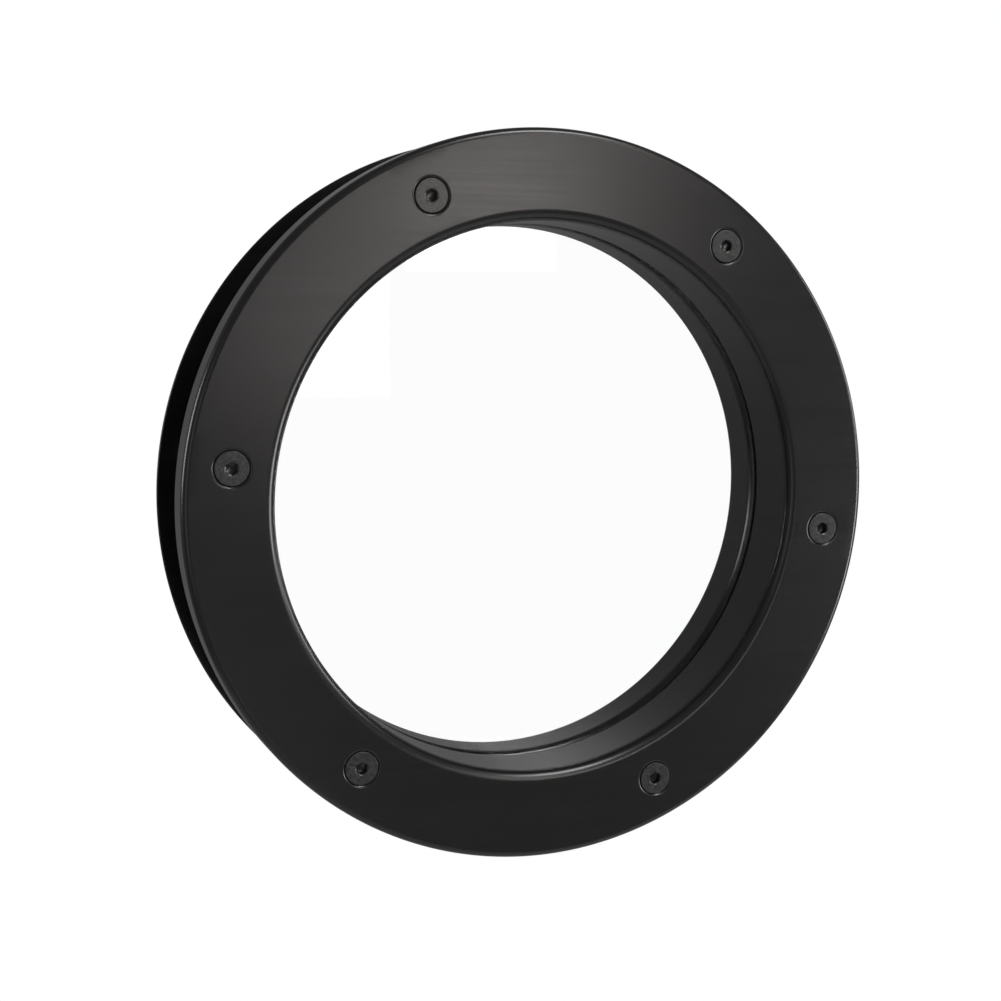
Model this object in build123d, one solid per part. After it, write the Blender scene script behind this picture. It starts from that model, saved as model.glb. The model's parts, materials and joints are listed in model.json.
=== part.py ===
"""Round porthole window for a door leaf: two pressed steel flanges clamp a glass pane between them.

Frame: the window's axis is Y, the front face looks towards -Y and +Z is up. The origin is the
centre of the whole window. All lengths are in millimetres.
"""
from build123d import *
import os
from math import cos, radians, sin, tan

# Overall sizes
outer_diameter = 265.0
clear_diameter = 200.0
door_thickness = 36.0
rim_depth = 12.5

# Pressed sheet of the two flanges
sheet = 1.5
outer_bend = 2.5
inner_bend = 4.0
seat_bend = 3.0
front_collar_depth = 24.5
edge_break = 0.4

# Glass and its seals
glass_thickness = 4.0
glass_chamfer = 0.5
glass_play = 0.75
seal_thickness = 1.0
seal_setback = 0.3
seal_margin = 1.5
seat_width = 8.0

# Six countersunk screws, M6 with a 90 degree head, half way between the opening and the outside
screw_count = 6
screw_turn = -7.7
screw_diameter = 6.0
screw_length = 35.0
head_diameter = 12.0
head_sharp_diameter = 13.44
head_angle = 90.0
head_sink = 0.1
head_edge_round = 0.25
hex_across_flats = 4.0
hex_depth = 2.6
tip_chamfer = 0.8
seat_clearance = 0.02

# Pressed dimples that take the screw heads
screw_hole = 6.6
dimple_depth = 4.4
dimple_lip = 1.2

# Threaded sleeves, welded to the rear flange
sleeve_diameter = 10.0
sleeve_start = 14.0
sleeve_bore_depth = 26.0
sleeve_foot_diameter = 14.0
sleeve_foot_height = 1.5
sleeve_chamfer = 0.6
drill_point_angle = 120.0
thread_clearance = 0.05

# Places along the axis, worked out from the sizes above
total_depth = rim_depth + door_thickness + sheet
front_face = -total_depth / 2
rear_face = total_depth / 2
rim_end = front_face + rim_depth
door_rear = rear_face - sheet
front_collar_end = front_face + front_collar_depth
glass_front = front_collar_end + seal_thickness
glass_rear = glass_front + glass_thickness
rear_seat = glass_rear + seal_thickness

# Radii shared by pieces that meet
outer_radius = outer_diameter / 2
clear_radius = clear_diameter / 2
screw_radius = (outer_radius + clear_radius) / 2
sleeve_radius = sleeve_diameter / 2
glass_radius = screw_radius - sleeve_radius - glass_play
seal_outer_radius = glass_radius - seal_margin
head_slope = tan(radians(head_angle / 2))
match_tolerance = 0.1


def sheet_ring(points, bends):
    """Bend a sheet along a path of (radius, y) points on its middle surface, then turn it about the axis."""
    path = FilletPolyline(*points, radius=bends)
    section = trace(path, line_width=sheet)
    return revolve(section, axis=Axis.Y)


def turned(*outline):
    """Turn a closed outline of (radius, y) points about the axis."""
    return revolve(make_face(Polyline(*outline, close=True)), axis=Axis.Y)


def ring(inner, outer, start, end):
    """A flat ring between two places along the axis."""
    return turned((inner, start), (outer, start), (outer, end), (inner, end))


def screw_places():
    """The places of the screws on the front face; each one's own Z axis points into the window."""
    step = 360 / screw_count
    angles = [radians(screw_turn + step * place) for place in range(screw_count)]
    centres = [(screw_radius * cos(a), front_face, screw_radius * sin(a)) for a in angles]
    return [Plane(origin=centre, x_dir=(1, 0, 0), z_dir=(0, 1, 0)).location for centre in centres]


def cone_radius(depth):
    """Radius of the countersink cone at a depth below the front face."""
    return head_sharp_diameter / 2 - depth * head_slope


def lathe_piece(outline):
    """A small turned piece about its own Z axis from (radius, depth) points."""
    section = make_face(Polyline(*outline, close=True))
    return revolve(Plane.XZ * section, axis=Axis.Z)


def dimple_back():
    """The cone that a dimple pushes out behind the sheet, one sheet thickness outside the head's cone."""
    wall = sheet / cos(radians(head_angle / 2))
    top = sheet / 2
    outline = [
        (0, top),
        (cone_radius(top) + wall, top),
        (cone_radius(dimple_depth) + wall, dimple_depth),
        (0, dimple_depth),
    ]
    return lathe_piece(outline)


def dimple_cut():
    """The countersunk hollow of a dimple with a rounded mouth, and the screw's hole through it."""
    hole = screw_hole / 2
    sharp = head_sharp_diameter / 2
    floor = (sharp - hole) / head_slope
    tangent = dimple_lip * tan(radians(90 - head_angle / 2) / 2)
    lip_start = (sharp + tangent, 0)
    lip_end = (sharp - tangent * sin(radians(head_angle / 2)), tangent * cos(radians(head_angle / 2)))
    above = Polyline(lip_start, (sharp + tangent, -sheet), (0, -sheet))
    lip = RadiusArc(lip_start, lip_end, dimple_lip)
    below = Polyline(lip_end, (hole, floor), (hole, dimple_depth + sheet), (0, dimple_depth + sheet))
    section = make_face([above, lip, below, Line((0, dimple_depth + sheet), (0, -sheet))])
    return revolve(Plane.XZ * section, axis=Axis.Z)


def is_rim_end(edge):
    """True for the two circles at the free end of the front flange's rim."""
    return abs(edge.arc_center.Y - rim_end) < match_tolerance


def is_outline(edge):
    """True for the two circles round the outside of a flat flange."""
    return abs(edge.radius - outer_radius) < match_tolerance


def make_front_flange():
    """Face, deep outer rim and inner collar in one pressing, with six dimples for the screws."""
    middle = sheet / 2
    path = [
        (outer_radius - middle, rim_end),
        (outer_radius - middle, front_face + middle),
        (clear_radius + middle, front_face + middle),
        (clear_radius + middle, front_collar_end),
    ]
    flange = sheet_ring(path, [outer_bend - middle, inner_bend - middle])
    back, cut = dimple_back(), dimple_cut()
    flange += [place * back for place in screw_places()]
    flange -= [place * cut for place in screw_places()]
    return fillet(flange.edges().filter_by(GeomType.CIRCLE).filter_by(is_rim_end), edge_break)


def make_rear_flange():
    """Flat ring drawn forwards into a collar, whose end is flared outwards as the glass seat."""
    middle = sheet / 2
    path = [
        (outer_radius, rear_face - middle),
        (clear_radius + middle, rear_face - middle),
        (clear_radius + middle, rear_seat + middle),
        (clear_radius + seat_width, rear_seat + middle),
    ]
    flange = sheet_ring(path, [inner_bend - middle, seat_bend - middle])
    return fillet(flange.edges().filter_by(GeomType.CIRCLE).filter_by(is_outline), edge_break)


def make_glass():
    """Flat disc, centred by the six sleeves and chamfered all round."""
    disc = ring(0, glass_radius, glass_front, glass_rear)
    return chamfer(disc.edges().filter_by(GeomType.CIRCLE), glass_chamfer)


def make_front_seal():
    """Rubber ring between the end of the front collar and the glass."""
    return ring(clear_radius + seal_setback, seal_outer_radius, front_collar_end, glass_front)


def make_rear_seal():
    """Rubber ring between the glass and the flared seat of the rear flange."""
    return ring(clear_radius + seat_bend, seal_outer_radius, glass_rear, rear_seat)


def make_screw():
    """Countersunk screw about its own Z axis, head at the origin, with a hexagon socket."""
    shank = screw_diameter / 2
    land_end = (head_sharp_diameter - head_diameter) / 2 / head_slope
    neck = (head_sharp_diameter / 2 - shank) / head_slope
    drop = seat_clearance
    outline = [
        (0, head_sink),
        (head_diameter / 2 - head_edge_round, head_sink),
        (head_diameter / 2, head_sink + head_edge_round),
        (head_diameter / 2, land_end - drop),
        (shank, neck - drop),
        (shank, screw_length - tip_chamfer),
        (shank - tip_chamfer, screw_length),
        (0, screw_length),
    ]
    socket = extrude(RegularPolygon(hex_across_flats / 2, 6, major_radius=False), hex_depth)
    return lathe_piece(outline) - Pos(0, 0, head_sink) * socket


def make_sleeve():
    """Sleeve about its own Z axis: a foot on the rear flange and a bore open towards the front."""
    bore = screw_diameter / 2 + thread_clearance
    foot = door_rear - front_face
    bore_end = sleeve_start + sleeve_bore_depth
    outline = [
        (bore + sleeve_chamfer, sleeve_start),
        (sleeve_radius - sleeve_chamfer, sleeve_start),
        (sleeve_radius, sleeve_start + sleeve_chamfer),
        (sleeve_radius, foot - sleeve_foot_height),
        (sleeve_foot_diameter / 2, foot - sleeve_foot_height),
        (sleeve_foot_diameter / 2, foot),
        (0, foot),
        (0, bore_end + bore / tan(radians(drill_point_angle / 2))),
        (bore, bore_end),
        (bore, sleeve_start + sleeve_chamfer),
    ]
    return lathe_piece(outline)


def make_parts():
    """Every separate piece of the window, by the name of its node."""
    parts = {
        "front_flange": make_front_flange(),
        "rear_flange": make_rear_flange(),
        "glass_pane": make_glass(),
        "front_glass_seal": make_front_seal(),
        "rear_glass_seal": make_rear_seal(),
    }
    screw, sleeve = make_screw(), make_sleeve()
    for number, place in enumerate(screw_places(), start=1):
        parts[f"screw_{number}"] = place * screw
        parts[f"threaded_sleeve_{number}"] = place * sleeve
    return parts


os.makedirs("parts", exist_ok=True)
for name, shape in make_parts().items():
    shape.label = name
    export_step(shape, f"parts/{name}.step")
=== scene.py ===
"""Looks of a round porthole window: satin black pressed flanges, a clear pane and black screws.

Frame: metres, the window's axis is Y, the front face looks towards -Y and +Z is up.
"""
import bmesh
import bpy
import json
import numpy as np
from math import cos, pi, radians, sin, sqrt, tan
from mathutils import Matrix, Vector


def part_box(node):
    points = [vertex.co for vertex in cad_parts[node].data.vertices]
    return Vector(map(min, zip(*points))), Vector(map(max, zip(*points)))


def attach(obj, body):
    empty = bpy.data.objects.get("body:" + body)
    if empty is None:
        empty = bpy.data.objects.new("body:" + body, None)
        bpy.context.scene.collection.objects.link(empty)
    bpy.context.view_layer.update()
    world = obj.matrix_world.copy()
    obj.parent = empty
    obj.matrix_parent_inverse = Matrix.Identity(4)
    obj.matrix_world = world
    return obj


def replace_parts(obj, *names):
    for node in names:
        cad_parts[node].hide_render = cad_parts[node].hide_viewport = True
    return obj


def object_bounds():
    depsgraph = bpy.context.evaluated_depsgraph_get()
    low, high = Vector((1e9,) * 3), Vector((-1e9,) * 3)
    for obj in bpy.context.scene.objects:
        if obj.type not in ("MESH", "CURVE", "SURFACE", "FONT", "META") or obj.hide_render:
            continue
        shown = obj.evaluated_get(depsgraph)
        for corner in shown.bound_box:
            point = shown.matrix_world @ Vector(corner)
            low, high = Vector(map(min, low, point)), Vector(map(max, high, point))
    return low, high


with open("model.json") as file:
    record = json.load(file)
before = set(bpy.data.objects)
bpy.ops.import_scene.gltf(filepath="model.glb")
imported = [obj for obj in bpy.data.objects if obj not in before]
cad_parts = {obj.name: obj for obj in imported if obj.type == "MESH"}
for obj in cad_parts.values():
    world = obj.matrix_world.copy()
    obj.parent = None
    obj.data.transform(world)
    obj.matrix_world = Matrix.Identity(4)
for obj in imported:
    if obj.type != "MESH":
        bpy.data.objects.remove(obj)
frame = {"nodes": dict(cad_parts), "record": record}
cad_low, cad_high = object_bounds()
mm = 0.001

# Camera: where it stands, where it looks and its lens
camera_place = (-0.22727, -0.56208, 0.06708)
camera_yaw = 21.214
camera_pitch = 6.556
camera_lens = 58.42
sensor_width = 36.0

# Floor: its drop below the window, its side, its matt grey and the share of white that the camera sees
floor_drop = 0.55
floor_side = 1.7
floor_grey = 0.85
floor_white = 0.75

# World: the even light on everything, what reflections add to it all round, and the patch of backdrop
# that they see: its direction, the power that narrows it and its strength
fill_light = 0.15
room_reflected = 0.05
backdrop_towards = (0.373, 0.800, 0.470)
backdrop_spread = 30.0
backdrop_dimmed = 0.6

# Lamps
lamp_distance = 1.6
plain_white = (1.0, 1.0, 1.0)
warm_white = (1.0, 0.94, 0.92)

# Flanges: the pressed sheet and its bends
sheet = 1.5 * mm
clear_radius = 100.0 * mm
rim_depth = 12.5 * mm
outer_bend = 2.5 * mm
inner_bend = 4.0 * mm
seat_bend = 3.0 * mm
seat_width = 8.0 * mm
edge_break = 0.4 * mm
cut_edge = 0.15 * mm
outer_radius = cad_high.x
front = cad_low.y
rear = cad_high.y
front_collar_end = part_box("front_flange")[1].y
rear_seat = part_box("rear_flange")[0].y

# Meshes: columns round a ring, steps on a bend, and the distance of the point that keeps a flat flat,
# which a line gets unless that distance is more than a share of its length
ring_columns = 720
bend_steps = 14
small_bend_steps = 8
edge_steps = 5
keep_flat = 0.15 * mm
keep_flat_share = 0.25
weld_distance = 0.001 * mm
sharp_angle = 35.0

# Dimples for the screw heads: 90 degree cones with a rounded mouth
screw_count = 6
screw_turn = -7.7
cone_slope = 45.0
cone_mouth = 6.72 * mm
mouth_bend = 1.2 * mm
screw_hole = 3.3 * mm
dimple_depth = 4.4 * mm
panel_columns = 10
panel_rows = 10
panel_back_shares = (0.33, 0.67, 1.0)

# Screws
head_radius = 6.0 * mm
head_round = 0.25 * mm
head_land = 0.6 * mm
socket_flat = 2.0 * mm
socket_depth = 2.5 * mm
socket_drill = 1.7 * mm
socket_point = 0.7 * mm
socket_mouth = 2.5 * mm
socket_edge = 0.25 * mm
socket_mark_start = 0.225 * mm
thread_pitch = 1.0 * mm
thread_crest = 3.0 * mm
thread_root = 2.46 * mm
thread_slope = 1.6
thread_offset = 0.3
thread_steps = 8
neck_depth = 4.6 * mm
tip_chamfer = 0.8 * mm
screw_columns = 48

# Threaded sleeves
sleeve_radius = 5.0 * mm
sleeve_chamfer = 0.6 * mm
sleeve_bore = 3.05 * mm
bore_depth = 26.0 * mm
drill_point_half = 60.0
foot_height = 1.5 * mm
sleeve_columns = 96

# Weld beads at the sleeves' feet; sink, flatness and swell are shares of the bead's radius
bead_radius = 0.55 * mm
bead_sink = 0.3
bead_flatness = 0.7
bead_swell = 0.15
bead_ripples = 26
ripple_columns = 8
bead_section = 10

# Rubber seals
seal_setback = 0.3 * mm
seal_bulge = 0.15 * mm


def arc(centre, radius, start, end, steps=edge_steps):
    """Points (radius, y) on an arc: centre plus radius times the cosine and sine of even angles."""
    angles = np.radians(np.linspace(start, end, steps + 1))
    return np.column_stack([centre[0] + radius * np.cos(angles), centre[1] + radius * np.sin(angles)])


def straight(start, end):
    """Points (radius, y) on a straight line; one more near each end keeps the bends off the flat."""
    start, end = np.array(start), np.array(end)
    share = keep_flat / np.linalg.norm(end - start)
    shares = [0.0, share, 0.5, 1 - share, 1.0] if share < keep_flat_share else [0.0, 1.0]
    return start + np.outer(shares, end - start)


def joined(*stretches):
    """One profile from stretches of points, each starting where the one before it ends."""
    return np.vstack([stretches[0]] + [stretch[1:] for stretch in stretches[1:]])


def closed_ring(*bends):
    """A closed profile: the bends in turn, with a straight line from each one's end to the next one."""
    parts = []
    for bend, following in zip(bends, bends[1:] + bends[:1]):
        parts += [bend, straight(bend[-1], following[0])]
    return joined(*parts)


def revolved(profile, angles):
    """Turn a profile about Y: x = radius cos(angle), z = radius sin(angle), y as in the profile."""
    radius, along = profile[:, :1], profile[:, 1:]
    return np.stack([radius * np.cos(angles), along + 0 * angles, radius * np.sin(angles)], axis=-1)


def full_turn(columns):
    """Even angles round a full turn, the first one not repeated."""
    return np.arange(columns) * 2 * pi / columns


def grid_quads(rows, columns, closed, first):
    """Quads between neighbouring points of a grid; a closed grid joins its last column to its first."""
    index = first + np.arange(rows * columns).reshape(rows, columns)
    if closed:
        index = np.hstack([index, index[:, :1]])
    corners = [index[:-1, :-1], index[1:, :-1], index[1:, 1:], index[:-1, 1:]]
    return np.stack(corners, axis=-1).reshape(-1, 4)


def make_piece(name, grids, material):
    """Join grids of points into one closed piece with outward faces and its sharp edges marked."""
    points, quads, count = [], [], 0
    for grid, closed in grids:
        rows, columns = grid.shape[:2]
        points.append(grid.reshape(-1, 3))
        quads.append(grid_quads(rows, columns, closed, count))
        count += rows * columns
    mesh = bpy.data.meshes.new(name)
    mesh.from_pydata(np.vstack(points), [], np.vstack(quads).tolist())
    work = bmesh.new()
    work.from_mesh(mesh)
    bmesh.ops.remove_doubles(work, verts=work.verts, dist=weld_distance)
    bmesh.ops.dissolve_degenerate(work, edges=work.edges, dist=weld_distance)
    bmesh.ops.recalc_face_normals(work, faces=work.faces)
    work.to_mesh(mesh)
    work.free()
    mesh.shade_smooth()
    mesh.set_sharp_from_angle(angle=radians(sharp_angle))
    mesh.materials.append(material)
    piece = bpy.data.objects.new(name, mesh)
    bpy.context.scene.collection.objects.link(piece)
    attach(piece, "root")
    return piece


def face_radii(inner, outer):
    """Radii of the rows of points across the flat face, with one near each bend."""
    middle = np.linspace(inner + keep_flat, outer - keep_flat, panel_rows - 1)
    return np.concatenate([[inner], middle, [outer]])


def dimple_profile():
    """Mouth bend, cone, hole, end and back of a dimple as (radius, depth) points.

    The cone narrows as much as it falls, so its wall is the root of two times the sheet, measured level.
    """
    mouth = cone_mouth + mouth_bend * tan(radians(cone_slope / 2))
    bend = arc((mouth, mouth_bend), mouth_bend, -90, -90 - cone_slope, small_bend_steps)
    wall = sheet * sqrt(2)
    hole_depth = cone_mouth - screw_hole
    return joined(
        bend,
        straight(bend[-1], (screw_hole, hole_depth)),
        straight((screw_hole, hole_depth), (screw_hole, dimple_depth)),
        straight((screw_hole, dimple_depth), (cone_mouth - dimple_depth + wall, dimple_depth)),
        straight((cone_mouth - dimple_depth + wall, dimple_depth), (cone_mouth - sheet + wall, sheet)),
    )


def panel_outline(centre_angle, radii):
    """The edge of the face panel round a dimple: two arcs and two radial lines, as (x, z) points."""
    half = panel_columns * 2 * pi / ring_columns
    across = centre_angle + np.linspace(-half, half, 2 * panel_columns + 1)
    sides = [
        (np.full(across.size, radii[0]), across),
        (radii, np.full(radii.size, across[-1])),
        (np.full(across.size, radii[-1]), across[::-1]),
        (radii[::-1], np.full(radii.size, across[0])),
    ]
    return np.vstack([np.column_stack([r * np.cos(a), r * np.sin(a)])[:-1] for r, a in sides])


def dimple_panel(centre_angle, radii):
    """Face panel with a dimple: straight lines from the panel's edge to the mouth, then its profile."""
    screw_ring = (outer_radius + clear_radius) / 2
    centre = screw_ring * np.array([cos(centre_angle), sin(centre_angle)])
    edge = panel_outline(centre_angle, radii)
    away = edge - centre
    reach = np.linalg.norm(away, axis=1)[:, None]
    away = away / reach
    profile = dimple_profile()
    mouth, foot = profile[0, 0], profile[-1, 0]
    rows = [(reach, 0), (mouth + 0.5 * (reach - mouth), 0), (mouth + keep_flat + 0 * reach, 0)]
    rows += [(radius + 0 * reach, depth) for radius, depth in profile]
    rows += [(foot + share * (reach - foot), sheet) for share in panel_back_shares]
    flat = np.array([centre + distance * away for distance, depth in rows])
    level = front + np.array([depth for distance, depth in rows])[:, None] + 0 * flat[:, :, 0]
    return np.stack([flat[:, :, 0], level, flat[:, :, 1]], axis=-1)


def make_front_flange(material):
    """Front flange: collar and rim turned about the axis, and plain and dimpled face panels between."""
    inner, outer = clear_radius + inner_bend, outer_radius - outer_bend
    back, rim_end = front + sheet, front + rim_depth
    collar_back, rim_back = clear_radius + sheet, outer_radius - sheet
    face_bend = arc((inner, front + inner_bend), inner_bend, -90, -180, bend_steps)
    collar_edge = arc((clear_radius + cut_edge, front_collar_end - cut_edge), cut_edge, 180, 90)
    collar_back_edge = arc((collar_back - cut_edge, front_collar_end - cut_edge), cut_edge, 90, 0)
    back_bend = arc((inner, front + inner_bend), inner_bend - sheet, 180, 270, bend_steps)
    collar = joined(
        face_bend,
        straight(face_bend[-1], collar_edge[0]),
        collar_edge,
        straight(collar_edge[-1], collar_back_edge[0]),
        collar_back_edge,
        straight(collar_back_edge[-1], back_bend[0]),
        back_bend,
    )
    inside_bend = arc((outer, front + outer_bend), outer_bend - sheet, -90, 0, bend_steps)
    rim_back_edge = arc((rim_back + edge_break, rim_end - edge_break), edge_break, 180, 90)
    rim_edge = arc((outer_radius - edge_break, rim_end - edge_break), edge_break, 90, 0)
    outside_bend = arc((outer, front + outer_bend), outer_bend, 0, -90, bend_steps)
    rim = joined(
        inside_bend,
        straight(inside_bend[-1], rim_back_edge[0]),
        rim_back_edge,
        straight(rim_back_edge[-1], rim_edge[0]),
        rim_edge,
        straight(rim_edge[-1], outside_bend[0]),
        outside_bend,
    )
    angles = radians(screw_turn) + full_turn(ring_columns)
    grids = [(revolved(collar, angles), True), (revolved(rim, angles), True)]
    radii = face_radii(inner, outer)
    step = ring_columns // screw_count
    for place in range(screw_count):
        centre = angles[place * step]
        grids.append((dimple_panel(centre, radii), True))
        plain = centre + np.arange(panel_columns, step - panel_columns + 1) * 2 * pi / ring_columns
        for level in (front, back):
            face = np.column_stack([radii, np.full(radii.size, level)])
            grids.append((revolved(face, plain), False))
    piece = make_piece("front_flange_pressing", grids, material)
    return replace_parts(piece, "front_flange")


def make_rear_flange(material):
    """Rear flange: flat ring, collar towards the front and flared seat, turned as one closed profile."""
    inside = rear - sheet
    seat_end, lip_end = rear_seat + sheet, clear_radius + seat_width
    profile = closed_ring(
        arc((outer_radius - edge_break, inside + edge_break), edge_break, 0, -90),
        arc((clear_radius + inner_bend, rear - inner_bend), inner_bend - sheet, 90, 180, bend_steps),
        arc((clear_radius + seat_bend, rear_seat + seat_bend), seat_bend - sheet, 180, 270, bend_steps),
        arc((lip_end - cut_edge, seat_end - cut_edge), cut_edge, 90, 0),
        arc((lip_end - cut_edge, rear_seat + cut_edge), cut_edge, 0, -90),
        arc((clear_radius + seat_bend, rear_seat + seat_bend), seat_bend, -90, -180, bend_steps),
        arc((clear_radius + inner_bend, rear - inner_bend), inner_bend, 180, 90, bend_steps),
        arc((outer_radius - edge_break, rear - edge_break), edge_break, 90, 0),
    )
    grid = revolved(profile, full_turn(ring_columns))
    piece = make_piece("rear_flange_pressing", [(grid, True)], material)
    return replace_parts(piece, "rear_flange")


def make_seal(node, inner, material):
    """Squeezed rubber ring: flat sides, a rounded outer edge and an inner edge that bulges inwards."""
    low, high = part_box(node)
    half = (high.y - low.y) / 2
    middle = low.y + half
    round_radius = half / 2
    bulge_reach = (half ** 2 + seal_bulge ** 2) / (2 * seal_bulge)
    spread = np.degrees(np.arcsin(half / bulge_reach))
    bulge_centre = (inner - seal_bulge + bulge_reach, middle)
    profile = closed_ring(
        arc((high.x - round_radius, high.y - round_radius), round_radius, 90, 0),
        arc((high.x - round_radius, low.y + round_radius), round_radius, 0, -90),
        arc(bulge_centre, bulge_reach, 180 + spread, 180 - spread, small_bend_steps),
    )
    grid = revolved(profile, full_turn(ring_columns // 2))
    piece = make_piece(f"{node}_ring", [(grid, True)], material)
    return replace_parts(piece, node)


def hexagon(angles, flat):
    """Radius of a hexagon: half its width over the cosine of the angle to the nearest flat's middle."""
    turn = (angles + pi / 6) % (pi / 3) - pi / 6
    return flat / np.cos(turn)


def place_of(node):
    """Centre of a node across its axis, and its lowest and highest y."""
    low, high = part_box(node)
    return (low.x + high.x) / 2, (low.z + high.z) / 2, low.y, high.y


def thread_radius(depth, angles, length):
    """Radius of the thread: a trapezoid wave along its helix, faded at both ends.

    The wave's phase is the depth in pitches less the share of a turn. Its slope and offset hold it flat
    at the crest and at the root.
    """
    phase = (depth / thread_pitch - angles / (2 * pi)) % 1.0
    wave = np.clip(thread_slope * np.abs(2 * phase - 1) - thread_offset, 0, 1)
    fade = np.clip(np.minimum(depth - neck_depth, length - tip_chamfer - depth) / thread_pitch, 0, 1)
    return thread_crest - (thread_crest - thread_root) * (1 - wave) * fade


def mark_socket(mesh, x, top, z):
    """Store 1 on the points inside the socket and 0 elsewhere, for the screw's smoother finish and
    painted shade there.
    """
    points = np.empty(3 * len(mesh.vertices), np.float32)
    mesh.vertices.foreach_get("co", points)
    points = points.reshape(-1, 3)
    depth = points[:, 1] - top
    radius = np.hypot(points[:, 0] - x, points[:, 2] - z)
    inside = (radius < socket_mouth) & (depth > socket_mark_start) & (depth < neck_depth)
    mark = mesh.attributes.new("socket", "FLOAT", "POINT")
    mark.data.foreach_set("value", inside.astype(np.float32))


def make_screw(number, material):
    """Screw: rings of a radius at each depth, hexagons in its socket and a helix on its shank."""
    node = f"screw_{number}"
    x, z, top, tip = place_of(node)
    length = tip - top
    angles = full_turn(screw_columns)
    socket = [
        (socket_depth + socket_point, 0 * angles),
        (socket_depth, socket_drill + 0 * angles),
        (socket_depth, hexagon(angles, socket_flat)),
        (socket_edge, hexagon(angles, socket_flat)),
    ]
    mouth = arc((socket_mouth + head_round / 2, head_round / 2), head_round / 2, -150, -90, 3)
    shoulder = arc((head_radius - head_round, head_round), head_round, -90, 0)
    neck = (thread_crest, head_land + head_radius - thread_crest)
    head = joined(
        mouth,
        straight(mouth[-1], shoulder[0]),
        shoulder,
        straight(shoulder[-1], (head_radius, head_land)),
        straight((head_radius, head_land), neck),
        straight(neck, (thread_crest, neck_depth)),
    )
    thread_step = thread_pitch / thread_steps
    depths = np.arange(neck_depth + thread_step, length - tip_chamfer, thread_step)
    shank = [(depth, thread_radius(depth, angles, length)) for depth in depths]
    end = [(thread_root, length - tip_chamfer), (thread_crest - tip_chamfer, length), (0.0, length)]
    rings = socket + [(depth, radius + 0 * angles) for radius, depth in head] + shank
    rings += [(depth, radius + 0 * angles) for radius, depth in end]
    depth = np.array([ring[0] for ring in rings])[:, None] + 0 * angles
    radius = np.array([ring[1] for ring in rings])
    grid = np.stack([x + radius * np.cos(angles), top + depth, z + radius * np.sin(angles)], axis=-1)
    piece = make_piece(f"countersunk_screw_{number}", [(grid, True)], material)
    mark_socket(piece.data, x, top, z)
    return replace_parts(piece, node)


def make_sleeve(number, material):
    """Threaded sleeve: bore, chamfered mouth, barrel and foot turned as one closed profile."""
    node = f"threaded_sleeve_{number}"
    x, z, start, foot = place_of(node)
    low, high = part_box(node)
    foot_radius, foot_top = (high.x - low.x) / 2, foot - foot_height
    bore_end = start + bore_depth
    foot_edge = arc((foot_radius - cut_edge, foot - cut_edge), cut_edge, 90, 0)
    foot_top_edge = arc((foot_radius - cut_edge, foot_top + cut_edge), cut_edge, 0, -90)
    corners = [
        (sleeve_radius, foot_top),
        (sleeve_radius, start + sleeve_chamfer),
        (sleeve_radius - sleeve_chamfer, start),
        (sleeve_bore + sleeve_chamfer, start),
        (sleeve_bore, start + sleeve_chamfer),
        (sleeve_bore, bore_end),
        (0.0, bore_end + sleeve_bore / tan(radians(drill_point_half))),
    ]
    profile = joined(
        straight((0.0, foot), foot_edge[0]),
        foot_edge,
        straight(foot_edge[-1], foot_top_edge[0]),
        foot_top_edge,
        straight(foot_top_edge[-1], corners[0]),
        *[straight(first, second) for first, second in zip(corners, corners[1:])],
    )
    grid = revolved(profile, full_turn(sleeve_columns)) + np.array([x, 0.0, z])
    piece = make_piece(f"turned_sleeve_{number}", [(grid, True)], material)
    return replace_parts(piece, node)


def make_bead(number, material):
    """Weld bead round a sleeve's foot: a ring of flattened round section that swells in ripples."""
    node = f"threaded_sleeve_{number}"
    low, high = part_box(node)
    x, z = (low.x + high.x) / 2, (low.z + high.z) / 2
    along = full_turn(ripple_columns * bead_ripples)[:, None]
    section = np.append(full_turn(bead_section), 0.0)
    swell = bead_radius * (1 + bead_swell * np.abs(np.sin(along * bead_ripples / 2)))
    reach = (high.x - low.x) / 2 + swell * np.cos(section)
    level = high.y - bead_radius * bead_sink + swell * np.sin(section) * bead_flatness
    grid = np.stack([x + reach * np.cos(along), level, z + reach * np.sin(along)], axis=-1)
    return make_piece(f"weld_bead_{number}", [(grid.transpose(1, 0, 2), True)], material)


class Term:
    """A node's output: sums, differences and products of such outputs and numbers add Math nodes."""

    def __init__(self, tree, socket):
        self.tree = tree
        self.socket = socket

    def math(self, operation, other):
        """One Math node of this output and another output or number."""
        return add_node(self.tree, "ShaderNodeMath", {"operation": operation}, {0: self, 1: other})

    def __add__(self, other):
        return self.math("ADD", other)

    __radd__ = __add__

    def __mul__(self, other):
        return self.math("MULTIPLY", other)

    __rmul__ = __mul__

    def __sub__(self, other):
        return self.math("SUBTRACT", other)

    def __rsub__(self, other):
        return add_node(self.tree, "ShaderNodeMath", {"operation": "SUBTRACT"}, {0: other, 1: self})


def add_node(tree, kind, settings=None, inputs=None, output=0):
    """Add a node of a kind, set it up, feed its sockets and return one of its outputs, if it has any."""
    node = tree.nodes.new(kind)
    for name, value in (settings or {}).items():
        if name == "stops":
            set_stops(node.color_ramp, value)
        else:
            setattr(node, name, value)
    for socket, value in (inputs or {}).items():
        if isinstance(value, Term):
            tree.links.new(value.socket, node.inputs[socket])
        else:
            node.inputs[socket].default_value = value
    return Term(tree, node.outputs[output]) if node.outputs else None


def set_stops(ramp, stops):
    """Give a colour ramp its (place, grey) stops."""
    while len(ramp.elements) < len(stops):
        ramp.elements.new(1.0)
    for element, (place, grey) in zip(ramp.elements, stops):
        element.position = place
        element.color = (grey, grey, grey, 1.0)


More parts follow.
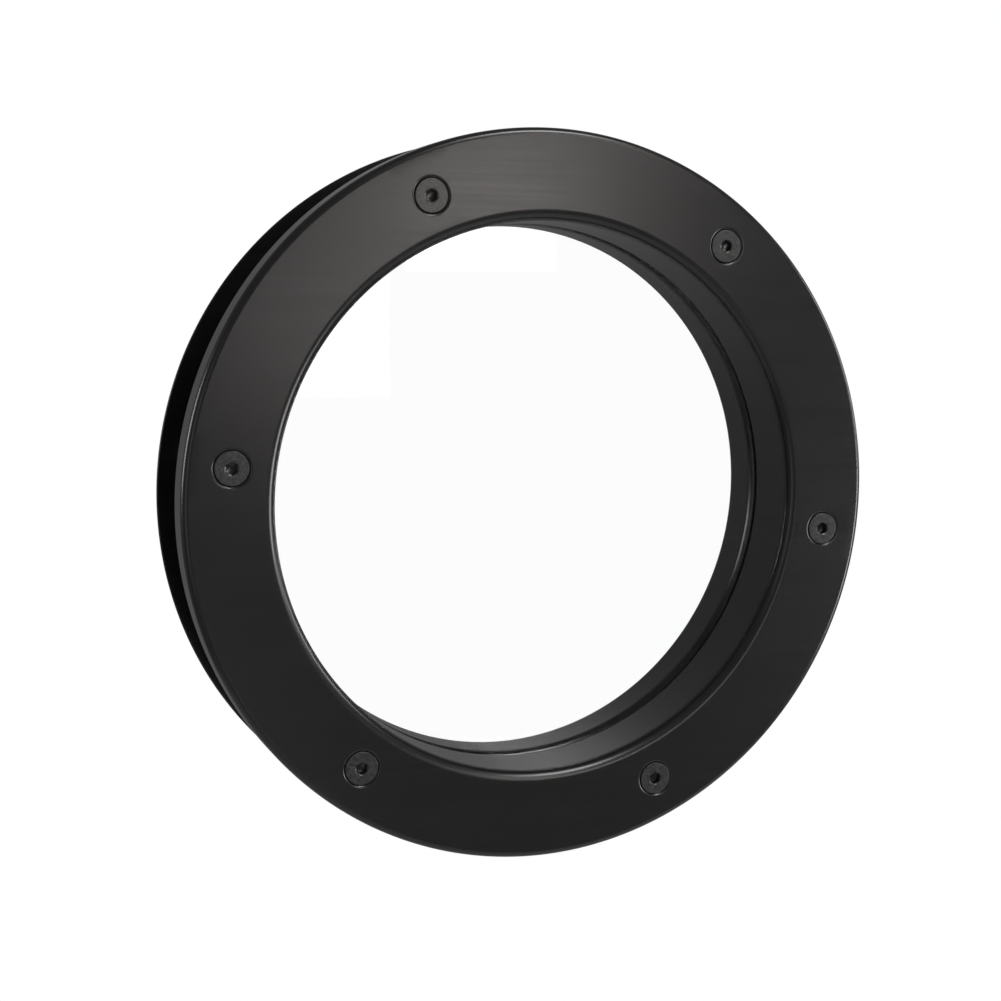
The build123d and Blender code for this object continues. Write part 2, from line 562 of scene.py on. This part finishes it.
def noise(tree, stretch, detail):
    """Noise from 0 to 1 on Object coordinates; stretch is the features per metre along each axis."""
    place = add_node(tree, "ShaderNodeTexCoord", output="Object")
    stretched = add_node(tree, "ShaderNodeMapping", inputs={"Vector": place, "Scale": stretch})
    inputs = {"Vector": stretched, "Scale": 1.0, "Detail": detail}
    return add_node(tree, "ShaderNodeTexNoise", inputs=inputs)


def contrast(amount, low, high):
    """Stretch a term so that low becomes 0 and high becomes 1, and hold it there beyond them."""
    stops = [(low, 0.0), (high, 1.0)]
    return add_node(amount.tree, "ShaderNodeValToRGB", {"stops": stops}, {"Fac": amount})


def tint(amount, first, second):
    """Colour between two colours, by a term from 0 to 1."""
    inputs = {0: amount, 6: (*first, 1.0), 7: (*second, 1.0)}
    return add_node(amount.tree, "ShaderNodeMix", {"data_type": "RGBA"}, inputs, output=2)


def bump(height, strength, distance):
    """Normal tilted by a height term."""
    inputs = {"Height": height, "Strength": strength, "Distance": distance}
    return add_node(height.tree, "ShaderNodeBump", inputs=inputs)


def new_material(name, **constants):
    """A material whose Principled shader has its constant sockets set, with that shader and its tree."""
    material = bpy.data.materials.new(f"{name}_finish")
    material.use_nodes = True
    shader = material.node_tree.nodes["Principled BSDF"]
    for socket, value in constants.items():
        shader.inputs[socket.replace("_", " ")].default_value = value
    return material, shader, material.node_tree


def finish_material(shader, **varying):
    """Link the terms that vary over the surface to the shader's sockets."""
    for socket, term in varying.items():
        term.tree.links.new(term.socket, shader.inputs[socket.replace("_", " ")])


def black_coat():
    """Satin black coat: level brush lines of the sheet show through, with soft mottle and fine grain."""
    material, shader, tree = new_material("black_coat", IOR=1.5)
    lines = noise(tree, (14, 14, 1000), 4.0)
    mottle = noise(tree, (45, 45, 90), 3.0)
    grain = noise(tree, (2600, 2600, 2600), 2.0)
    shade = contrast(lines * 0.6 + mottle * 0.4, 0.35, 0.65)
    finish_material(
        shader,
        Base_Color=tint(shade, (0.0065, 0.0063, 0.0061), (0.0082, 0.0080, 0.0077)),
        Roughness=0.20 + lines * 0.07 + mottle * 0.03,
        Normal=bump(lines * 0.7 + grain * 0.3, 0.05, 0.00006),
    )
    return material


def clear_glass():
    """Clear float glass with weak reflections, a faint wave and a trace of dust."""
    constants = {"Base_Color": (0.995, 1.0, 0.998, 1.0), "Specular_Tint": (0.4, 0.4, 0.4, 1.0)}
    material, shader, tree = new_material("clear_glass", Transmission_Weight=1.0, IOR=1.5, **constants)
    haze = noise(tree, (35, 35, 35), 3.0)
    wave = noise(tree, (12, 12, 12), 1.0)
    finish_material(shader, Roughness=contrast(haze, 0.5, 1.0) * 0.02, Normal=bump(wave, 0.02, 0.0001))
    return material


def black_rubber():
    """Matt black rubber with a fine grain and paler bloom."""
    material, shader, tree = new_material("black_rubber")
    grain = noise(tree, (1500, 1500, 1500), 3.0)
    bloom = noise(tree, (110, 110, 110), 3.0)
    finish_material(
        shader,
        Base_Color=tint(contrast(bloom, 0.4, 0.7), (0.009, 0.009, 0.009), (0.017, 0.017, 0.016)),
        Roughness=0.55 + grain * 0.3,
        Normal=bump(grain, 0.2, 0.0001),
    )
    return material


def black_screw():
    """Black oxide on steel: grey and granular with worn specks, smoother in the socket and painted
    darker there as shade.
    """
    material, shader, tree = new_material("black_screw", IOR=1.5)
    grain = noise(tree, (1900, 1900, 1900), 3.0)
    specks = noise(tree, (900, 900, 900), 2.0)
    socket = add_node(tree, "ShaderNodeAttribute", {"attribute_name": "socket"}, output="Fac")
    # Inside the socket the base colour falls to its darkest tint: painted shade in the recess.
    shade = contrast(grain * 0.55 + specks * 0.45, 0.38, 0.62) * (1 - socket)
    finish_material(
        shader,
        Base_Color=tint(shade, (0.012, 0.012, 0.012), (0.05, 0.05, 0.049)),
        Roughness=(0.20 + grain * 0.22) * (1 - socket) + socket * 0.22,
        Normal=bump(grain * 0.6 + specks * 0.4, 0.25, 0.0001),
    )
    return material


def zinc_steel():
    """Zinc plated, turned steel: fine turning lines along the axis and cloudy spots in the plating."""
    material, shader, tree = new_material("zinc_steel", Metallic=1.0)
    turning = noise(tree, (30, 3500, 30), 2.0)
    cloud = noise(tree, (260, 260, 260), 3.0)
    finish_material(
        shader,
        Base_Color=tint(contrast(cloud, 0.35, 0.65), (0.42, 0.43, 0.44), (0.60, 0.61, 0.60)),
        Roughness=0.28 + turning * 0.12 + cloud * 0.2,
        Normal=bump(turning, 0.15, 0.0001),
    )
    return material


def white_seen(tree):
    """One for camera rays, also through the glass, and nought for those that a coat has reflected."""
    camera_ray = add_node(tree, "ShaderNodeLightPath", output="Is Camera Ray")
    through_glass = add_node(tree, "ShaderNodeLightPath", output="Is Transmission Ray")
    reflections = add_node(tree, "ShaderNodeLightPath", output="Glossy Depth")
    direct = reflections.math("LESS_THAN", 0.5)
    return camera_ray.math("MAXIMUM", through_glass * direct)


def white_floor():
    """Pale matt floor that shows nearly white to the camera and keeps the window's soft shadow."""
    material = bpy.data.materials.new("white_floor")
    material.use_nodes = True
    tree = material.node_tree
    tree.nodes.clear()
    grey = (floor_grey, floor_grey, floor_grey, 1.0)
    matt = add_node(tree, "ShaderNodeBsdfDiffuse", inputs={"Color": grey})
    white = add_node(tree, "ShaderNodeEmission", inputs={"Color": (*plain_white, 1.0), "Strength": 1.0})
    share = white_seen(tree) * floor_white
    mixed = add_node(tree, "ShaderNodeMixShader", inputs={0: share, 1: matt, 2: white})
    add_node(tree, "ShaderNodeOutputMaterial", inputs={"Surface": mixed})
    return material


def make_world():
    """White behind the window to the camera, dimmed in reflections, and a low even light for the rest.

    The patch of backdrop is the cosine of the angle from its middle, held above nought, to a power.
    """
    world = bpy.data.worlds.new("studio")
    bpy.context.scene.world = world
    world.use_nodes = True
    tree = world.node_tree
    tree.nodes.clear()
    direction = add_node(tree, "ShaderNodeTexCoord", output="Generated")
    both = {0: direction, 1: backdrop_towards}
    nearness = add_node(tree, "ShaderNodeVectorMath", {"operation": "DOT_PRODUCT"}, both, output="Value")
    backdrop = nearness.math("MAXIMUM", 0.0).math("POWER", backdrop_spread)
    glossy_ray = add_node(tree, "ShaderNodeLightPath", output="Is Glossy Ray")
    through_glass = add_node(tree, "ShaderNodeLightPath", output="Is Transmission Ray")
    reflected = glossy_ray.math("MAXIMUM", through_glass)
    unseen = reflected * (backdrop * backdrop_dimmed + room_reflected) + fill_light
    strength = white_seen(tree).math("MAXIMUM", unseen)
    inputs = {"Color": (*plain_white, 1.0), "Strength": strength}
    light = add_node(tree, "ShaderNodeBackground", inputs=inputs)
    add_node(tree, "ShaderNodeOutputWorld", inputs={"Surface": light})


def make_floor():
    """Square floor below the window."""
    side, level = floor_side / 2, cad_low.z - floor_drop
    corners = [(-side, -side, level), (side, -side, level), (side, side, level), (-side, side, level)]
    mesh = bpy.data.meshes.new("floor")
    mesh.from_pydata(corners, [], [(0, 1, 2, 3)])
    mesh.materials.append(white_floor())
    floor = bpy.data.objects.new("floor", mesh)
    bpy.context.scene.collection.objects.link(floor)


def make_camera():
    """Camera at the photograph's angle."""
    data = bpy.data.cameras.new("camera")
    data.lens = camera_lens
    data.sensor_width = sensor_width
    camera = bpy.data.objects.new("camera", data)
    camera.location = camera_place
    camera.rotation_euler = (radians(90 - camera_pitch), 0.0, radians(-camera_yaw))
    bpy.context.scene.collection.objects.link(camera)
    bpy.context.scene.camera = camera


def softbox(name, turn, rise, width, height, brightness, colour):
    """Rectangular lamp that looks at the window, turned right from the front and raised, in degrees."""
    data = bpy.data.lights.new(name, "AREA")
    data.shape = "RECTANGLE"
    data.size = width
    data.size_y = height
    data.energy = brightness * pi * width * height
    data.color = colour
    lamp = bpy.data.objects.new(name, data)
    turn, rise = radians(turn), radians(rise)
    away = Vector((sin(turn) * cos(rise), -cos(turn) * cos(rise), sin(rise)))
    lamp.location = away * lamp_distance
    lamp.rotation_euler = away.to_track_quat("Z", "Y").to_euler()
    lamp.visible_camera = False
    bpy.context.scene.collection.objects.link(lamp)


finishes = {
    "black_coat": black_coat(),
    "clear_glass": clear_glass(),
    "black_rubber": black_rubber(),
    "black_screw": black_screw(),
    "zinc_steel": zinc_steel(),
}
make_front_flange(finishes["black_coat"])
make_rear_flange(finishes["black_coat"])
make_seal("front_glass_seal", clear_radius + seal_setback, finishes["black_rubber"])
make_seal("rear_glass_seal", clear_radius + seat_bend, finishes["black_rubber"])
for number in range(1, screw_count + 1):
    make_screw(number, finishes["black_screw"])
    make_sleeve(number, finishes["zinc_steel"])
    make_bead(number, finishes["zinc_steel"])
for subpart in frame["record"]["subparts"]:
    node = frame["nodes"][subpart["node"]]
    node.data.materials.clear()
    node.data.materials.append(finishes[subpart["material_slot"]])

make_camera()
make_world()
make_floor()
softbox("key", 20, 8, 0.2, 0.2, 9.4, warm_white)
softbox("key_low", 12, 2, 0.2, 0.2, 4.0, warm_white)
softbox("upper", 28, 22, 0.32, 0.32, 5.3, warm_white)
softbox("top", 30, 48, 0.5, 0.5, 12.5, plain_white)
softbox("right", 58, -10, 0.45, 0.45, 10.5, plain_white)
softbox("right_side", 80, 10, 0.45, 0.6, 5.5, plain_white)
softbox("left_side", -100, 10, 0.45, 0.6, 8.0, plain_white)
softbox("left", -38, 0, 0.45, 0.9, 0.8, plain_white)
softbox("low", 0, -22, 0.4, 0.4, 0.6, plain_white)

bpy.context.scene.view_settings.view_transform = "Standard"
